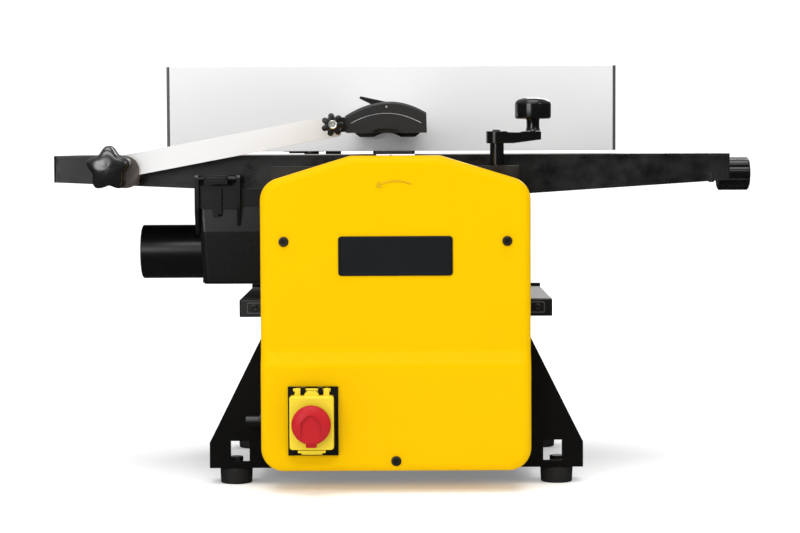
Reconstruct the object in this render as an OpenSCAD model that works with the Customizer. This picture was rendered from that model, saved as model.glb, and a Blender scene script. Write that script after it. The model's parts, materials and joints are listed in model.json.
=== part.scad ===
// Bench surface planer and thicknesser. X runs along the tables towards the infeed end, Y runs to
// the rear where the fence is, Z is up. The feet stand on Z = 0.

/* [Surface tables] */
// Height of the table surface above the bench
table_top = 355; // [345:1:365]
// Depth of the tables, front to rear
table_depth = 210; // [206:1:212]
// Reach of the outfeed table from the cutter
outfeed_reach = 374; // [340:1:400]
// Reach of the infeed table from the cutter
infeed_reach = 363; // [340:1:400]
// Half of the gap between the table lips
lip_gap = 23; // [22:0.5:24]

/* [Cutter] */
// Radius of the circle that the knives cut
cut_r = 25; // [24:0.5:26]
// Length of the knives
knife_len = 204; // [200:1:204]
// Radius of a feed roller
roller_r = 15; // [14:0.5:15]
// Distance of each feed roller from the cutter
roller_x = 50; // [48:0.5:52]

/* [Frame] */
// Half length of the legs at the bench
leg_x = 201.5; // [196:0.5:206]
// Distance of the front and rear plates from the middle
plate_y = 154; // [154:0.5:155]
// Thickness of the frame's sheet steel
sheet = 2.5; // [2:0.5:3]
// Height of the rubber feet
foot_h = 18; // [16:0.5:20]
// Radius of a rubber foot
foot_r = 17.75; // [16:0.25:18]
// Distance of a foot from the middle, along the tables
foot_x = 174; // [172:0.5:176]
// Distance of a foot from the middle, front to rear
foot_y = 136; // [134:0.5:138]

/* [Front cover] */
// Half width of the cover
cover_x = 142; // [140:0.5:143]
// Front face of the cover's lower part
cover_y = 222; // [218:1:226]
// How far the upper part stands back
cover_step = 8; // [6:1:10]
// Corner radius of the cover
cover_r = 24; // [20:1:28]
// Wall thickness of the cover
cover_wall = 3; // [2.5:0.5:4]

/* [Thickness table] */
// Half length of the thickness table
bed_x = 172; // [168:1:174]
// Surface of the thickness table as it stands here
bed_top = 197; // [196:0.5:198]
// Thickness of its casting
bed_h = 19.5; // [18:0.5:20]
// Radius of the lifting screws
screw_r = 6; // [5:0.5:6.5]
// Distance of the lifting screws from the middle, along the tables
screw_x = 110; // [108:1:112]
// Distance of the lifting screws from the middle, front to rear
screw_y = 130; // [129:0.5:131]

/* [Fence] */
// Face of the fence behind the middle
fence_y = 99; // [98:0.5:100]
// Height of the fence
fence_h = 100.5; // [90:0.5:105]
// Length of the fence with its caps
fence_len = 533; // [500:1:560]

/* [Hidden] */
$fn = 48;
// Place of the machine's middle in the part's own frame
mid_x = -15;
mid_y = 27.5;
run = 0.05;
cut_z = table_top - cut_r;
roller_z = cut_z - cut_r - 1 + roller_r;
plate_in = plate_y - sheet;
head_in = table_depth / 2 + 2;
head_x = 133;
head_low = 212;
head_top = 343;
lip_t = 8;
root_x = 112;
bed_low = bed_top - bed_h;
belt_y = -183;
motor_x = 42;
motor_z = 96;
bar_x = 99;
rail_x = 143;
pawl_x = 79;
pawl_z = 322;
arm_y = -127;
arm_pivot = [-306, 341.5];
arm_tip = [-60, 388.6];
tilt_pin = [-66.5, 387.5];
tilt_axis = [121.5, 364];
knob_z = 331.5;
knob_x = infeed_reach + 5;
hood_low = 214.5;
spigot_z = 245;
flap_pin_z = 111;
flap_pin_y = -228.5;

module on_machine() { translate([mid_x, mid_y, 0]) children(); }

// A box given by its low and high corners
module box(low, high) { translate(low) cube(high - low); }

// An outline in X and Z, extruded towards the rear from y
module along_y(y, depth) {
    translate([0, y + depth, 0]) rotate([90, 0, 0]) linear_extrude(depth) children();
}

// An outline in Y and Z, extruded towards the infeed end from x
module along_x(x, length) {
    translate([x, 0, 0]) rotate([90, 0, 90]) linear_extrude(length) children();
}

// A round bar along Y, from y to the rear
module bar_y(x, y, z, r, length) { translate([x, y, z]) rotate([-90, 0, 0]) cylinder(r = r, h = length); }

// A round bar along X
module bar_x(x, y, z, r, length) { translate([x, y, z]) rotate([0, 90, 0]) cylinder(r = r, h = length); }

module four(x, y) { for (sx = [-1, 1], sy = [-1, 1]) translate([sx * x, sy * y, 0]) children(); }

// A knob of n round lobes, r over the lobes
module lobes(n, r, lobe_r, h, turn = 0) {
    cylinder(r = r - lobe_r * 0.55, h = h);
    for (i = [0 : n - 1]) rotate(turn + i * 360 / n) translate([r - lobe_r, 0, 0])
        cylinder(r = lobe_r, h = h);
}

// Frame ---------------------------------------------------------------------------------------

// Leg plate outline, drawn in by d
function plate_line(d) = [[-leg_x + d, foot_h + d], [leg_x - d, foot_h + d], [leg_x - d, 45.5],
    [136 - d, 177], [136 - d, 312], [50, 341 - d], [-50, 341 - d], [-136 + d, 312], [-136 + d, 177],
    [-leg_x + d, 45.5]];

module side_plate() {
    difference() {
        along_y(-plate_y, 16) polygon(plate_line(0));
        along_y(-plate_in, 20) polygon(plate_line(sheet));
        box([-leg_x, -plate_in, head_low - 5], [leg_x, -100, head_top + 5]);
        for (s = [-1, 1]) bar_y(s * roller_x, -plate_y - 1, roller_z, 8, 10);
        for (s = [-1, 1]) box([s * 168.5 - 10, -plate_y - 1, 25.3], [s * 168.5 + 10, -plate_in + 1, 47.4]);
        bar_y(0, -plate_y - 1, cut_z, 13, 10);
        bar_y(motor_x, -plate_y - 1, motor_z, 17, 10);
        for (s = [-1, 1]) translate([s * foot_x, -foot_y, 0]) cylinder(r = 4.2, h = 60);
    }
    difference() {
        box([-leg_x, -plate_in, foot_h], [leg_x, -118, foot_h + sheet]);
        for (s = [-1, 1]) translate([s * foot_x, -foot_y, 0]) cylinder(r = 4.2, h = 60);
    }
}

module front_side_plate() { color("dimgray") on_machine() side_plate(); }
module rear_side_plate() { color("dimgray") on_machine() mirror([0, 1, 0]) side_plate(); }

module base_frame() {
    color("dimgray") on_machine() difference() {
        union() {
            for (s = [-1, 1]) difference() {
                box([s * rail_x - 11, -plate_in, foot_h + sheet], [s * rail_x + 11, plate_in, 45]);
                box([s * rail_x - 8.5, -plate_in - 1, foot_h + 2 * sheet], [s * rail_x + 8.5, plate_in + 1, 46]);
            }
            box([-rail_x, -plate_in, foot_h + sheet], [rail_x, plate_in, foot_h + 2 * sheet]);
        }
        four(screw_x, screw_y) cylinder(r = screw_r + run, h = 60);
        for (i = [-3 : 3]) box([i * 14 - 3, -40, foot_h], [i * 14 + 3, 40, foot_h + 10]);
    }
}

module rubber_feet() {
    color("black") on_machine() four(foot_x, foot_y) difference() {
        cylinder(r1 = foot_r - 0.8, r2 = foot_r, h = foot_h);
        translate([0, 0, -1]) cylinder(r = 9, h = 6);
        cylinder(r = 4, h = foot_h + 1);
    }
}

module foot_bolts() {
    color("silver") on_machine() four(foot_x, foot_y) {
        translate([0, 0, 6]) cylinder(r = 4, h = foot_h);
        translate([0, 0, foot_h + sheet]) cylinder(r = 9, h = 1.5);
        translate([0, 0, foot_h + sheet + 1.5]) cylinder(r = 7.5, h = 6.5, $fn = 6);
    }
}

// Head casting at the front: an open box against the side plate, with a bore for every shaft
module head() {
    difference() {
        union() {
            difference() {
                box([-head_x, -plate_in, head_low], [head_x, -head_in, head_top]);
                box([-head_x + 5, -plate_in - 1, head_low - 1], [head_x - 5, -119, head_top - 35]);
            }
            for (s = [-1, 1]) translate([s * screw_x, -screw_y, head_low])
                cylinder(r = 14, h = head_top - head_low);
            bar_y(0, -132, cut_z - 9, 24, 20);
        }
        for (s = [-1, 1]) translate([s * screw_x, -screw_y, 200]) cylinder(r = screw_r + run, h = 200);
        for (s = [-1, 1]) bar_y(s * roller_x, -160, roller_z, 7 + run, 60);
        bar_y(0, -122, cut_z, 17.5, 20);
        bar_y(0, -160, cut_z, 13, 60);
    }
}

module front_head() { color("black") on_machine() head(); }
module rear_head() { color("black") on_machine() mirror([0, 1, 0]) head(); }

module cutter_bearings() {
    color("silver") on_machine() for (s = [-1, 1]) mirror([0, s > 0 ? 1 : 0, 0]) difference() {
        bar_y(0, -121, cut_z, 17.5, 11);
        bar_y(0, -122, cut_z, 10 + run, 20);
    }
}

module head_tie_bars() {
    color("gray") on_machine() {
        for (s = [-1, 1]) box([s * bar_x - 9, -head_in, 317], [s * bar_x + 9, head_in, 331]);
        box([-bar_x - 5, -98, 331], [-bar_x + 5, 98, 335]);
        bar_y(pawl_x, -head_in, pawl_z, 4, 2 * head_in);
    }
}

// Covers --------------------------------------------------------------------------------------

// Cover outline, drawn in by d
module cover_outline(d) {
    hull() {
        for (s = [-1, 1]) {
            translate([s * (cover_x - cover_r), 23.5 + cover_r]) circle(r = cover_r - d, $fn = 32);
            translate([s * (cover_x - cover_r), 320 - 12]) circle(r = cover_r - d, $fn = 32);
            translate([s * 46, table_top - 12.5]) circle(r = 12 - d, $fn = 32);
        }
    }
}

// What the front of the cover loses above its step, moved back by d
module above_step(d) {
    along_x(-200, 400)
        polygon([[-cover_y - 20, 136 - d], [-cover_y + d, 136 - d], [-cover_y + cover_step + d, 149.7 - d],
            [-cover_y + cover_step + d, 400], [-cover_y - 20, 400]]);
}

switch_low = [-113, 41.7];
switch_high = [-60.4, 114.1];

// The switch's outline, drawn in by d, from y0 to y1
module switch_block(y0, y1, d) {
    box([switch_low[0] + d, y0, switch_low[1] + d], [switch_high[0] - d, y1, switch_high[1] - d]);
}

module front_cover() {
    color("gold") on_machine() difference() {
        along_y(-cover_y, cover_y - plate_y) cover_outline(0);
        above_step(0);
        difference() {
            along_y(-cover_y + cover_wall, cover_y - plate_y) cover_outline(cover_wall);
            above_step(cover_wall);
        }
        switch_block(-cover_y - 10, -cover_y + 10, 4);
        for (p = cover_screw_places()) bar_y(p[0], -cover_y - 5, p[1], 3, 30);
    }
}

function cover_screw_places() = [[-117, 265], [117, 265], [0, 35]];
rear_cover_depth = 34;

module rear_cover() {
    color("black") on_machine() difference() {
        along_y(plate_y, rear_cover_depth) rear_outline(0);
        along_y(plate_y - 1, rear_cover_depth - 2) rear_outline(cover_wall);
        for (s = [-1, 1]) bar_y(s * 96, plate_y, 226, 3, 50);
    }
}

module rear_outline(d) {
    hull() {
        for (s = [-1, 1]) {
            translate([s * 100, 222]) circle(r = 12 - d, $fn = 32);
            translate([s * 60, 334]) circle(r = 12 - d, $fn = 32);
            translate([s * 100, 306]) circle(r = 12 - d, $fn = 32);
        }
    }
}

module cap_screw(shank) {
    bar_y(0, 0, 0, 3, shank);
    difference() {
        bar_y(0, -4, 0, 5, 4);
        translate([0, -2, 0]) rotate([90, 0, 0]) cylinder(r = 2.9, h = 5, $fn = 6);
    }
}

module cover_screws() {
    color("dimgray") on_machine() {
        for (p = cover_screw_places())
            translate([p[0], p[1] > 136 ? -cover_y + cover_step : -cover_y, p[1]]) cap_screw(14);
        for (s = [-1, 1]) translate([s * 96, plate_y + rear_cover_depth, 226]) mirror([0, 1, 0]) cap_screw(14);
    }
}

module name_plate() {
    face = -cover_y + cover_step;
    color("darkslategray") on_machine() box([-60, face - 1.2, 229], [60, face, 270.5]);
}

gland_y = -172;
gland_z = 71;

module cable_gland() {
    color("dimgray") on_machine() difference() {
        union() {
            bar_x(-cover_x - 19, gland_y, gland_z, 6.5, 19);
            bar_x(-cover_x - 4, gland_y, gland_z, 9, 4);
        }
        bar_x(-cover_x - 20, gland_y, gland_z, 3.5, 16);
    }
}

// Switch --------------------------------------------------------------------------------------

switch_x = (switch_low[0] + switch_high[0]) / 2;
flap_x = switch_x - 1;

module switch_plate() {
    color("black") on_machine() difference() {
        union() {
            switch_block(-cover_y - 3, -cover_y, 0);
            for (s = [-1, 1]) box([flap_x + s * 9 - 2.5, flap_pin_y - 3.5, flap_pin_z - 3],
                [flap_x + s * 9 + 2.5, -cover_y - 2, flap_pin_z + 3]);
        }
        for (z = [65, 93]) bar_y(switch_x, -cover_y - 5, z, 8.3, 10);
        bar_x(switch_x - 30, flap_pin_y, flap_pin_z, 1.8 + run, 60);
    }
}

module switch_housing() {
    color("black") on_machine() difference() {
        switch_block(-cover_y, -176, 4.3);
        for (z = [65, 93]) bar_y(switch_x, -cover_y - 5, z, 8.3, 18);
    }
}

module push_button(z) { bar_y(switch_x, -cover_y - 5, z, 8, 12); }
module start_button() { color("green") on_machine() push_button(93); }
module stop_button() { color("red") on_machine() push_button(65); }

module switch_flap() {
    color("gold") on_machine() {
        difference() {
            union() {
                box([flap_x - 23, -244, 50], [flap_x + 23, -230, 106]);
                for (s = [-1, 1]) box([flap_x + s * 17 - 5, -232, 104],
                    [flap_x + s * 17 + 5, flap_pin_y + 2, flap_pin_z]);
                bar_x(flap_x - 22, flap_pin_y, flap_pin_z, 1.8, 44);
                box([flap_x - 9, -238, 44], [flap_x + 9, -230, 50]);
            }
            box([flap_x - 20.5, -241.5, 52.5], [flap_x + 20.5, -229, 103.5]);
            bar_y(flap_x, -250, 77.3, 7.1, 20);
        }
    }
}

module stop_mushroom() {
    color("red") on_machine() {
        translate([flap_x, -245 - 4.5, 77.3]) rotate([90, 0, 0])
            rotate_extrude() polygon([[0, 0], [20.5, 0], [20.5, 5], [18.5, 8.2], [14, 10], [0, 10.6]]);
        bar_y(flap_x, -250, 77.3, 7, 18.5);
    }
}

// Surface tables ------------------------------------------------------------------------------

// Table casting with its lip at the cutter. The reach is measured away from the cutter, and slot is
// how high the skirt stands over the head castings.
module surface_table(reach, root_low, slot) {
    half = table_depth / 2;
    box([lip_gap, -half, table_top - lip_t], [reach, half, table_top]);
    for (s = [-1, 1]) along_y(s > 0 ? half - 5 : -half, 5)
        polygon([[lip_gap, table_top - lip_t], [36, slot], [root_x, slot], [root_x, root_low],
            [reach - 3, table_top - 29], [reach, table_top - 26], [reach, table_top - 2],
            [lip_gap, table_top - 2]]);
    box([reach - 5, -half, table_top - 29], [reach, half, table_top]);
    for (x = [205 : 55 : reach - 40]) box([x, -half, table_top - 27], [x + 4, half, table_top - 2]);
}

module outfeed_table() {
    color("dimgray") on_machine() {
        mirror([1, 0, 0]) surface_table(outfeed_reach, 314, 338);
        box([-bar_x - 5, -100, 335], [-bar_x + 5, 100, table_top - 2]);
    }
}

module infeed_table() {
    color("dimgray") on_machine() difference() {
        union() {
            surface_table(infeed_reach, 310, 339);
            box([bar_x - 5, -100, 335], [bar_x + 5, 100, table_top - 2]);
            bar_x(infeed_reach - 33, 0, knob_z, 12, 30);
            box([infeed_reach - 33, -table_depth / 2, table_top - 27],
                [infeed_reach - 29, table_depth / 2, table_top - 2]);
        }
        bar_x(100, 0, knob_z, 4 + run, 300);
    }
}

module depth_rod() {
    color("silver") on_machine() {
        bar_x(125, 0, knob_z, 4, infeed_reach + 17 - 125);
    }
}

module end_knob() {
    color("black") on_machine() difference() {
        translate([knob_x, 0, knob_z]) rotate([0, 90, 0]) lobes(8, 19, 5, 35.7, 11);
        bar_x(knob_x - 1, 0, knob_z, 4, infeed_reach + 18 - knob_x);
    }
}

// Cutter and drive ----------------------------------------------------------------------------

knife_y = knife_len / 2;

module knife_slot(turn, width, depth, out) {
    translate([0, 0, cut_z]) rotate([0, turn, 0])
        box([-width / 2, -knife_y, cut_r - depth], [width / 2, knife_y, cut_r + out]);
}

module cutter_block() {
    color("silver") on_machine() {
        difference() {
            bar_y(0, -knife_y, cut_z, cut_r - 1.5, knife_len);
            for (t = [0, 180]) knife_slot(t, 14, 14, 5);
        }
        bar_y(0, -165, cut_z, 10, 165 - knife_y);
        bar_y(0, knife_y, cut_z, 10, 164 - knife_y);
        bar_y(0, -195, cut_z, 6, 31);
    }
}

module cutter_knives() {
    color("lightgray") on_machine() for (t = [0, 180]) translate([0, 0, cut_z]) rotate([0, t, 0])
        box([-7, -knife_y, cut_r - 14], [-4, knife_y, cut_r - 1.2]);
}

module knife_clamps() {
    color("gray") on_machine() for (t = [0, 180]) translate([0, 0, cut_z]) rotate([0, t, 0]) difference() {
        box([-4, -knife_y, cut_r - 14], [7, knife_y, cut_r - 3.5]);
        for (i = [-2 : 2]) translate([1.5, i * 40, cut_r - 8]) cylinder(r = 3.2, h = 10);
    }
}

module pulley(r, z, x, bore) {
    difference() {
        union() {
            bar_y(x, belt_y - 9, z, r - 1.5, 18);
            for (s = [-1, 1]) bar_y(x, belt_y + s * 8 - 1, z, r + 2.5, 2);
        }
        bar_y(x, belt_y - 20, z, bore, 40);
    }
}

module cutter_pulley() { color("dimgray") on_machine() pulley(18, cut_z, 0, 6); }

module motor_pulley() {
    color("dimgray") on_machine() {
        pulley(26, motor_z, motor_x, 6);
        bar_y(motor_x, -196, motor_z, 6, 196 - 143);
    }
}

module belt_line(d) {
    hull() {
        translate([0, cut_z]) circle(r = 16.9 + d);
        translate([motor_x, motor_z]) circle(r = 24.9 + d);
    }
}

module drive_belt() {
    color("black") on_machine() along_y(belt_y - 6, 12) difference() {
        belt_line(3);
        belt_line(0);
    }
}

module motor() {
    color("gray") on_machine() difference() {
        union() {
            bar_y(motor_x, -142, motor_z, 46, 128);
            bar_y(motor_x, -14, motor_z, 36, 22);
            bar_y(motor_x, -plate_in, motor_z, 30, 12);
            for (t = [0 : 30 : 330]) translate([motor_x, 0, motor_z]) rotate([0, t, 0])
                box([-1.2, -130, 45], [1.2, -30, 49]);
            box([motor_x - 30, -130, 23], [motor_x + 30, -110, 60]);
        }
        bar_y(motor_x, -160, motor_z, 6 + run, 18);
    }
}

module feed_gearbox() {
    color("gray") on_machine() difference() {
        box([-34, plate_y, 268], [34, plate_y + 8, 318]);
        bar_y(0, plate_y - 1, cut_z, 13, 30);
    }
}

module roller(s) {
    bar_y(s * roller_x, -head_in + 3, roller_z, roller_r, 2 * head_in - 6);
    bar_y(s * roller_x, -122, roller_z, 7, 300);
    difference() {
        bar_y(s * roller_x, plate_y + 14, roller_z, 13, 5);
        for (t = [0 : 30 : 330]) translate([s * roller_x, 0, roller_z]) rotate([0, t, 0])
            bar_y(13.4, plate_y, 0, 1.6, 40);
    }
}

module infeed_roller() { color("dimgray") on_machine() roller(1); }
module outfeed_roller() { color("dimgray") on_machine() roller(-1); }

module feed_line(d) {
    hull() for (s = [-1, 1]) translate([s * roller_x, roller_z]) circle(r = 13.4 + d);
}

module feed_chain() {
    color("gray") on_machine() along_y(plate_y + 14.5, 4) difference() {
        feed_line(2.4);
        feed_line(0);
    }
}

module kickback_pawls() {
    color("silver") on_machine() for (i = [-6 : 6]) difference() {
        along_y(i * 15 - 3, 6)
            polygon([[pawl_x - 6, pawl_z + 3], [pawl_x + 5, pawl_z + 6], [pawl_x + 7, pawl_z - 2],
                [pawl_x - 4, pawl_z - 21], [pawl_x - 8, pawl_z - 19]]);
        bar_y(pawl_x, -110, pawl_z, 4 + run, 220);
    }
}

// Thickness table -----------------------------------------------------------------------------

module thickness_table() {
    half = table_depth / 2;
    color("dimgray") on_machine() difference() {
        union() {
            difference() {
                box([-bed_x, -half, bed_low], [bed_x, half, bed_top]);
                for (i = [-1 : 1], j = [-1, 1]) box([i * 113 - 53, j * 51.5 - 46, bed_low - 1],
                    [i * 113 + 53, j * 51.5 + 46, bed_top - 7]);
            }
            box([-bed_x, half - 4, bed_top - 1], [bed_x, half, bed_top + 3.5]);
            four(screw_x, screw_y) translate([0, 0, bed_low]) cylinder(r = 14, h = bed_h);
            for (s = [-1, 1])
                box([s * screw_x - 14, -screw_y, bed_low], [s * screw_x + 14, screw_y, bed_low + 12]);
        }
        four(screw_x, screw_y) cylinder(r = screw_r + run, h = 300);
    }
}

// Lifting screw with its sprocket, at the corner named by its signs
module lift_screw(sx, sy, top) {
    translate([sx * screw_x, sy * screw_y, 0]) {
        translate([0, 0, foot_h + sheet + 0.3]) cylinder(r = screw_r, h = top - foot_h - sheet - 0.3);
        difference() {
            translate([0, 0, 31]) cylinder(r = 15, h = 5);
            for (t = [0 : 30 : 330]) rotate(t) translate([15.4, 0, 30]) cylinder(r = 1.8, h = 8);
        }
    }
}

module lift_screw_front_right() {
    color("dimgray") on_machine() {
        lift_screw(1, -1, 372);
        translate([screw_x, -screw_y, head_top + 0.5]) cylinder(r = 7.25, h = 367 - head_top - 0.5);
    }
}
module lift_screw_front_left() { color("silver") on_machine() lift_screw(-1, -1, 336); }
module lift_screw_rear_right() { color("silver") on_machine() lift_screw(1, 1, 336); }
module lift_screw_rear_left() { color("silver") on_machine() lift_screw(-1, 1, 336); }

module lift_line(d) {
    hull() for (sx = [-1, 1], sy = [-1, 1]) translate([sx * screw_x, sy * screw_y]) circle(r = 15.4 + d);
}

module lift_chain() {
    color("gray") on_machine() translate([0, 0, 31.5]) linear_extrude(4) difference() {
        lift_line(2.6);
        lift_line(0);
    }
}

crank_x = 149;

module crank_arm() {
    color("black") on_machine() difference() {
        union() {
            translate([screw_x - 0.5, -screw_y, 367]) cylinder(r = 11, h = 13);
            along_y(-screw_y - 6, 12)
                polygon([[screw_x, 367], [crank_x - 22, 367], [crank_x + 4, 371], [crank_x + 4, 378.5],
                    [screw_x, 379]]);
            translate([crank_x, -screw_y, 371]) cylinder(r = 7.2, h = 8.5);
            translate([crank_x, -screw_y, 379.5]) cylinder(r = 3, h = 30);
        }
        translate([screw_x, -screw_y, 360]) cylinder(r = screw_r, h = 12);
    }
}

module crank_knob() {
    color("black") on_machine() translate([crank_x, -screw_y, 0]) difference() {
        rotate_extrude() polygon([[0, 380], [6.3, 380], [6.3, 393.2], [19.6, 393.2], [19.6, 410], [16.2, 414],
            [9, 415.6], [0, 416]]);
        translate([0, 0, 370]) cylinder(r = 3 + run, h = 40.5);
    }
}

// Guard ---------------------------------------------------------------------------------------

module guard_arm_boss() {
    color("dimgray") on_machine() {
        box([arm_pivot[0] - 12, -table_depth / 2 - 6, 323], [arm_pivot[0] + 26, -table_depth / 2, 353]);
        bar_y(arm_pivot[0] + 12, -table_depth / 2 - 18, 337, 14, 15);
        bar_y(arm_pivot[0], arm_y + 0.3, arm_pivot[1], 11, -table_depth / 2 - arm_y - 0.3);
        bar_y(arm_pivot[0], -162, arm_pivot[1], 4, 40);
    }
}

module guard_arm() {
    rise = arm_tip - arm_pivot;
    slope = atan2(rise[1], rise[0]);
    reach = norm(rise);
    color("gainsboro") on_machine() difference() {
        translate([arm_pivot[0], 0, arm_pivot[1]]) rotate([0, -slope, 0]) {
            along_y(arm_y - 5, 5) polygon([[0, -12], [reach, -13], [reach, 10], [0, 12]]);
            bar_y(0, arm_y - 5, 0, 12, 5);
            box([reach - 30, arm_y - 5, -8], [reach - 8, arm_y + 12, 8]);
        }
        bar_y(arm_pivot[0], -200, arm_pivot[1], 4 + run, 100);
        bar_y(tilt_pin[0], -200, tilt_pin[1], 3, 120);
    }
}

module star_knob() {
    color("black") on_machine() translate([arm_pivot[0], 0, arm_pivot[1] + 1]) difference() {
        union() {
            rotate([90, 0, 0]) translate([0, 0, 146]) lobes(5, 24, 9, 26, 90);
            bar_y(0, -146.5, 0, 13, 14);
        }
        bar_y(0, -163, -1, 4 + run, 40);
    }
}

holder_y = -146;
guard_x = -9.5;

// Shallow arch with a flat foot, centred on the guard
module arch_shape(top, low, half, drop) {
    n = 10;
    polygon(concat([for (i = [-n : n]) [i * half / n, top - drop * (i * i) / (n * n)]],
        [[half, low], [-half, low]]));
}

module guard_holder() {
    color("black") on_machine() difference() {
        union() {
            translate([guard_x, 0, 0]) along_y(holder_y, 52) arch_shape(413, 378.8, 43.5, 13);
            box([-72, -112, 380], [-50, -96, 396]);
        }
        translate([guard_x, 0, 0]) along_y(holder_y - 1, 60) difference() {
            arch_shape(400.4, 388.3, 38.4, 10.5);
            arch_shape(398, 383, 36, 10.5);
        }
        translate([guard_x, 0, 0]) along_y(holder_y - 5, 12) arch_shape(382.5, 370, 12, 5);
        box([guard_x - 17.5, holder_y + 14, 403.6], [guard_x + 5.5, holder_y + 34, 420]);
        bar_y(tilt_pin[0], -130, tilt_pin[1], 3, 60);
    }
}

module guard_profile() {
    color("silver") on_machine() translate([guard_x, 0, 0]) difference() {
        along_y(holder_y, 230) arch_shape(400, 388.8, 38, 10.5);
        along_y(holder_y - 1, 300) arch_shape(398.4, 383, 36.4, 10.5);
    }
}

module guard_end_cap() {
    color("black") on_machine() translate([guard_x, 0, 0]) difference() {
        along_y(84, 5) arch_shape(402, 375, 38.5, 10.5);
        along_y(80, 12) arch_shape(380, 374, 15, 5);
    }
}

module guard_cam_lever() {
    color("black") on_machine() {
        along_y(holder_y + 15, 18)
            polygon([[guard_x, 404.3], [guard_x, 411.7], [-38, 419], [-39, 416.5], [-22, 410.6]]);
        bar_y(guard_x, holder_y + 15, 408, 3.8, 18);
    }
}

module guard_tilt_knob() {
    color("black") on_machine() translate([tilt_pin[0], 0, tilt_pin[1]]) {
        rotate([90, 0, 0]) translate([0, 0, 150]) lobes(7, 12.5, 3, 10, 10);
        bar_y(0, -150.2, 0, 7, 17.7);
        bar_y(0, -150, 0, 2.6, 60);
    }
}

// Fence ---------------------------------------------------------------------------------------

guide_x = -101.5;
fence_low = table_top + 3.5;
fence_x = -5;

module fence_base() {
    color("dimgray") on_machine() {
        box([-132, head_in, head_top], [-88, plate_in, 351]);
        box([guide_x - 4.5, head_in + 3, head_top + 4], [guide_x + 4.5, 205, 357.5]);
    }
}

module fence_carriage() {
    color("dimgray") on_machine() difference() {
        union() {
            box([-127.5, 120, 358.5], [-92.5, 172, 374]);
            box([guide_x - 7.8, 120, 351.4], [guide_x + 7.8, 172, 360]);
            bar_x(-127.5, tilt_axis[0], tilt_axis[1], 8, 35);
            box([-94, 138, 358.8], [0, 150, 364]);
            box([-84, 126, 354.5], [-66, 150, 360]);
            box([-27, 126, 354.5], [23, 150, 361]);
        }
        box([guide_x - 4.8, 100, 350], [guide_x + 4.8, 210, 357.8]);
        bar_x(-140, tilt_axis[0], tilt_axis[1], 4 + run, 60);
    }
}

module fence_bracket() {
    color("dimgray") on_machine() {
        for (x = [-134, -92]) hull() {
            bar_x(x, tilt_axis[0] + 1.5, 371, 6, 6);
            bar_x(x, tilt_axis[0], tilt_axis[1] + 1, 7, 6);
        }
        box([-138, 113, 366], [-128, 119, 430]);
        box([-92, 113, 366], [-82, 119, 430]);
        box([-138, 113, 400], [-82, 117, 430]);
        bar_x(-140, tilt_axis[0], tilt_axis[1], 4, 62);
    }
}

fence_back = fence_y + 14;
fence_half = fence_len / 2;

module fence_plate() {
    color("whitesmoke") on_machine() difference() {
        box([fence_x - fence_half + 3.5, fence_y, fence_low],
            [fence_x + fence_half - 3.5, fence_back, fence_low + fence_h]);
        for (i = [0 : 3]) box([fence_x - fence_len, fence_y + 3, fence_low + 3 + i * 24.5],
            [fence_x + fence_len, fence_back - 3, fence_low + 24 + i * 24.5]);
    }
}

module fence_end_caps() {
    color("black") on_machine() for (s = [-1, 1]) translate([fence_x + s * (fence_half - 1.75), 0, 0])
        box([-1.75, fence_y, fence_low], [1.75, fence_back, fence_low + fence_h]);
}

module fence_slide_lever() {
    color("black") on_machine() {
        translate([-110, 158, 374.3]) cylinder(r = 8, h = 12);
        translate([-110, 158, 380]) rotate([0, 90, 20]) cylinder(r = 4, h = 46);
    }
}

// Dust hood -----------------------------------------------------------------------------------

hood_y = 100;
hood_end = -213;
latch_pin = [-118.5, 329.5];

module hood_line(d) {
    polygon([[hood_end + d, hood_low + d], [34 - d, hood_low + d], [34 - d, 262],
        [22 - d, 298 - d], [-126, 298 - d], [-130, 309 - d], [hood_end + d, 309 - d]]);
}

// Scoop in the throat, wider box outside it, round spigot for the hose and the frame of the latch
module dust_hood() {
    color("black") on_machine() {
        difference() {
            union() {
                along_y(-hood_y, 2 * hood_y) hood_line(0);
                box([hood_end, -112, hood_low], [-140, 112, 309]);
                bar_x(-289.5, 0, spigot_z, 30.5, 79);
                box([hood_end, -115, 296], [-167, -111, 333]);
                for (x = [hood_end, -170]) box([x, -122, 296], [x + 3, -112, 333]);
            }
            along_y(-hood_y + 3, 2 * hood_y - 6) hood_line(3);
            box([hood_end + 3, -109, hood_low + 3], [-143, 109, 306]);
            box([-26, -hood_y + 3, 290], [40, hood_y - 3, 320]);
            bar_x(-293, 0, spigot_z, 28, 90);
        }
        bar_x(hood_end + 1, latch_pin[0], latch_pin[1], 1.5, 45);
    }
}

module hood_latch() {
    color("dimgray") on_machine() difference() {
        union() {
            bar_x(hood_end + 4, latch_pin[0], latch_pin[1], 3, 38);
            box([hood_end + 4, -121, 305], [hood_end + 42, -118.5, latch_pin[1]]);
            box([hood_end + 10, -123, 306], [hood_end + 36, -121, 310]);
        }
        bar_x(hood_end, latch_pin[0], latch_pin[1], 1.5 + run, 50);
    }
}

front_side_plate();
rear_side_plate();
base_frame();
rubber_feet();
foot_bolts();
front_head();
rear_head();
head_tie_bars();
front_cover();
rear_cover();
cover_screws();
name_plate();
switch_plate();
switch_housing();
outfeed_table();
motor();
cutter_bearings();
lift_chain();
drive_belt();
feed_gearbox();
feed_chain();
guard_arm_boss();
fence_base();
cable_gland();
start_button();
stop_button();
switch_flap();
stop_mushroom();
infeed_table();
depth_rod();
end_knob();
cutter_block();
cutter_knives();
knife_clamps();
cutter_pulley();
motor_pulley();
infeed_roller();
outfeed_roller();
kickback_pawls();
thickness_table();
lift_screw_front_right();
lift_screw_front_left();
lift_screw_rear_right();
lift_screw_rear_left();
crank_arm();
crank_knob();
guard_arm();
star_knob();
guard_holder();
guard_tilt_knob();
guard_cam_lever();
guard_profile();
guard_end_cap();
fence_carriage();
fence_bracket();
fence_plate();
fence_end_caps();
dust_hood();
hood_latch();
fence_slide_lever();
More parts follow.
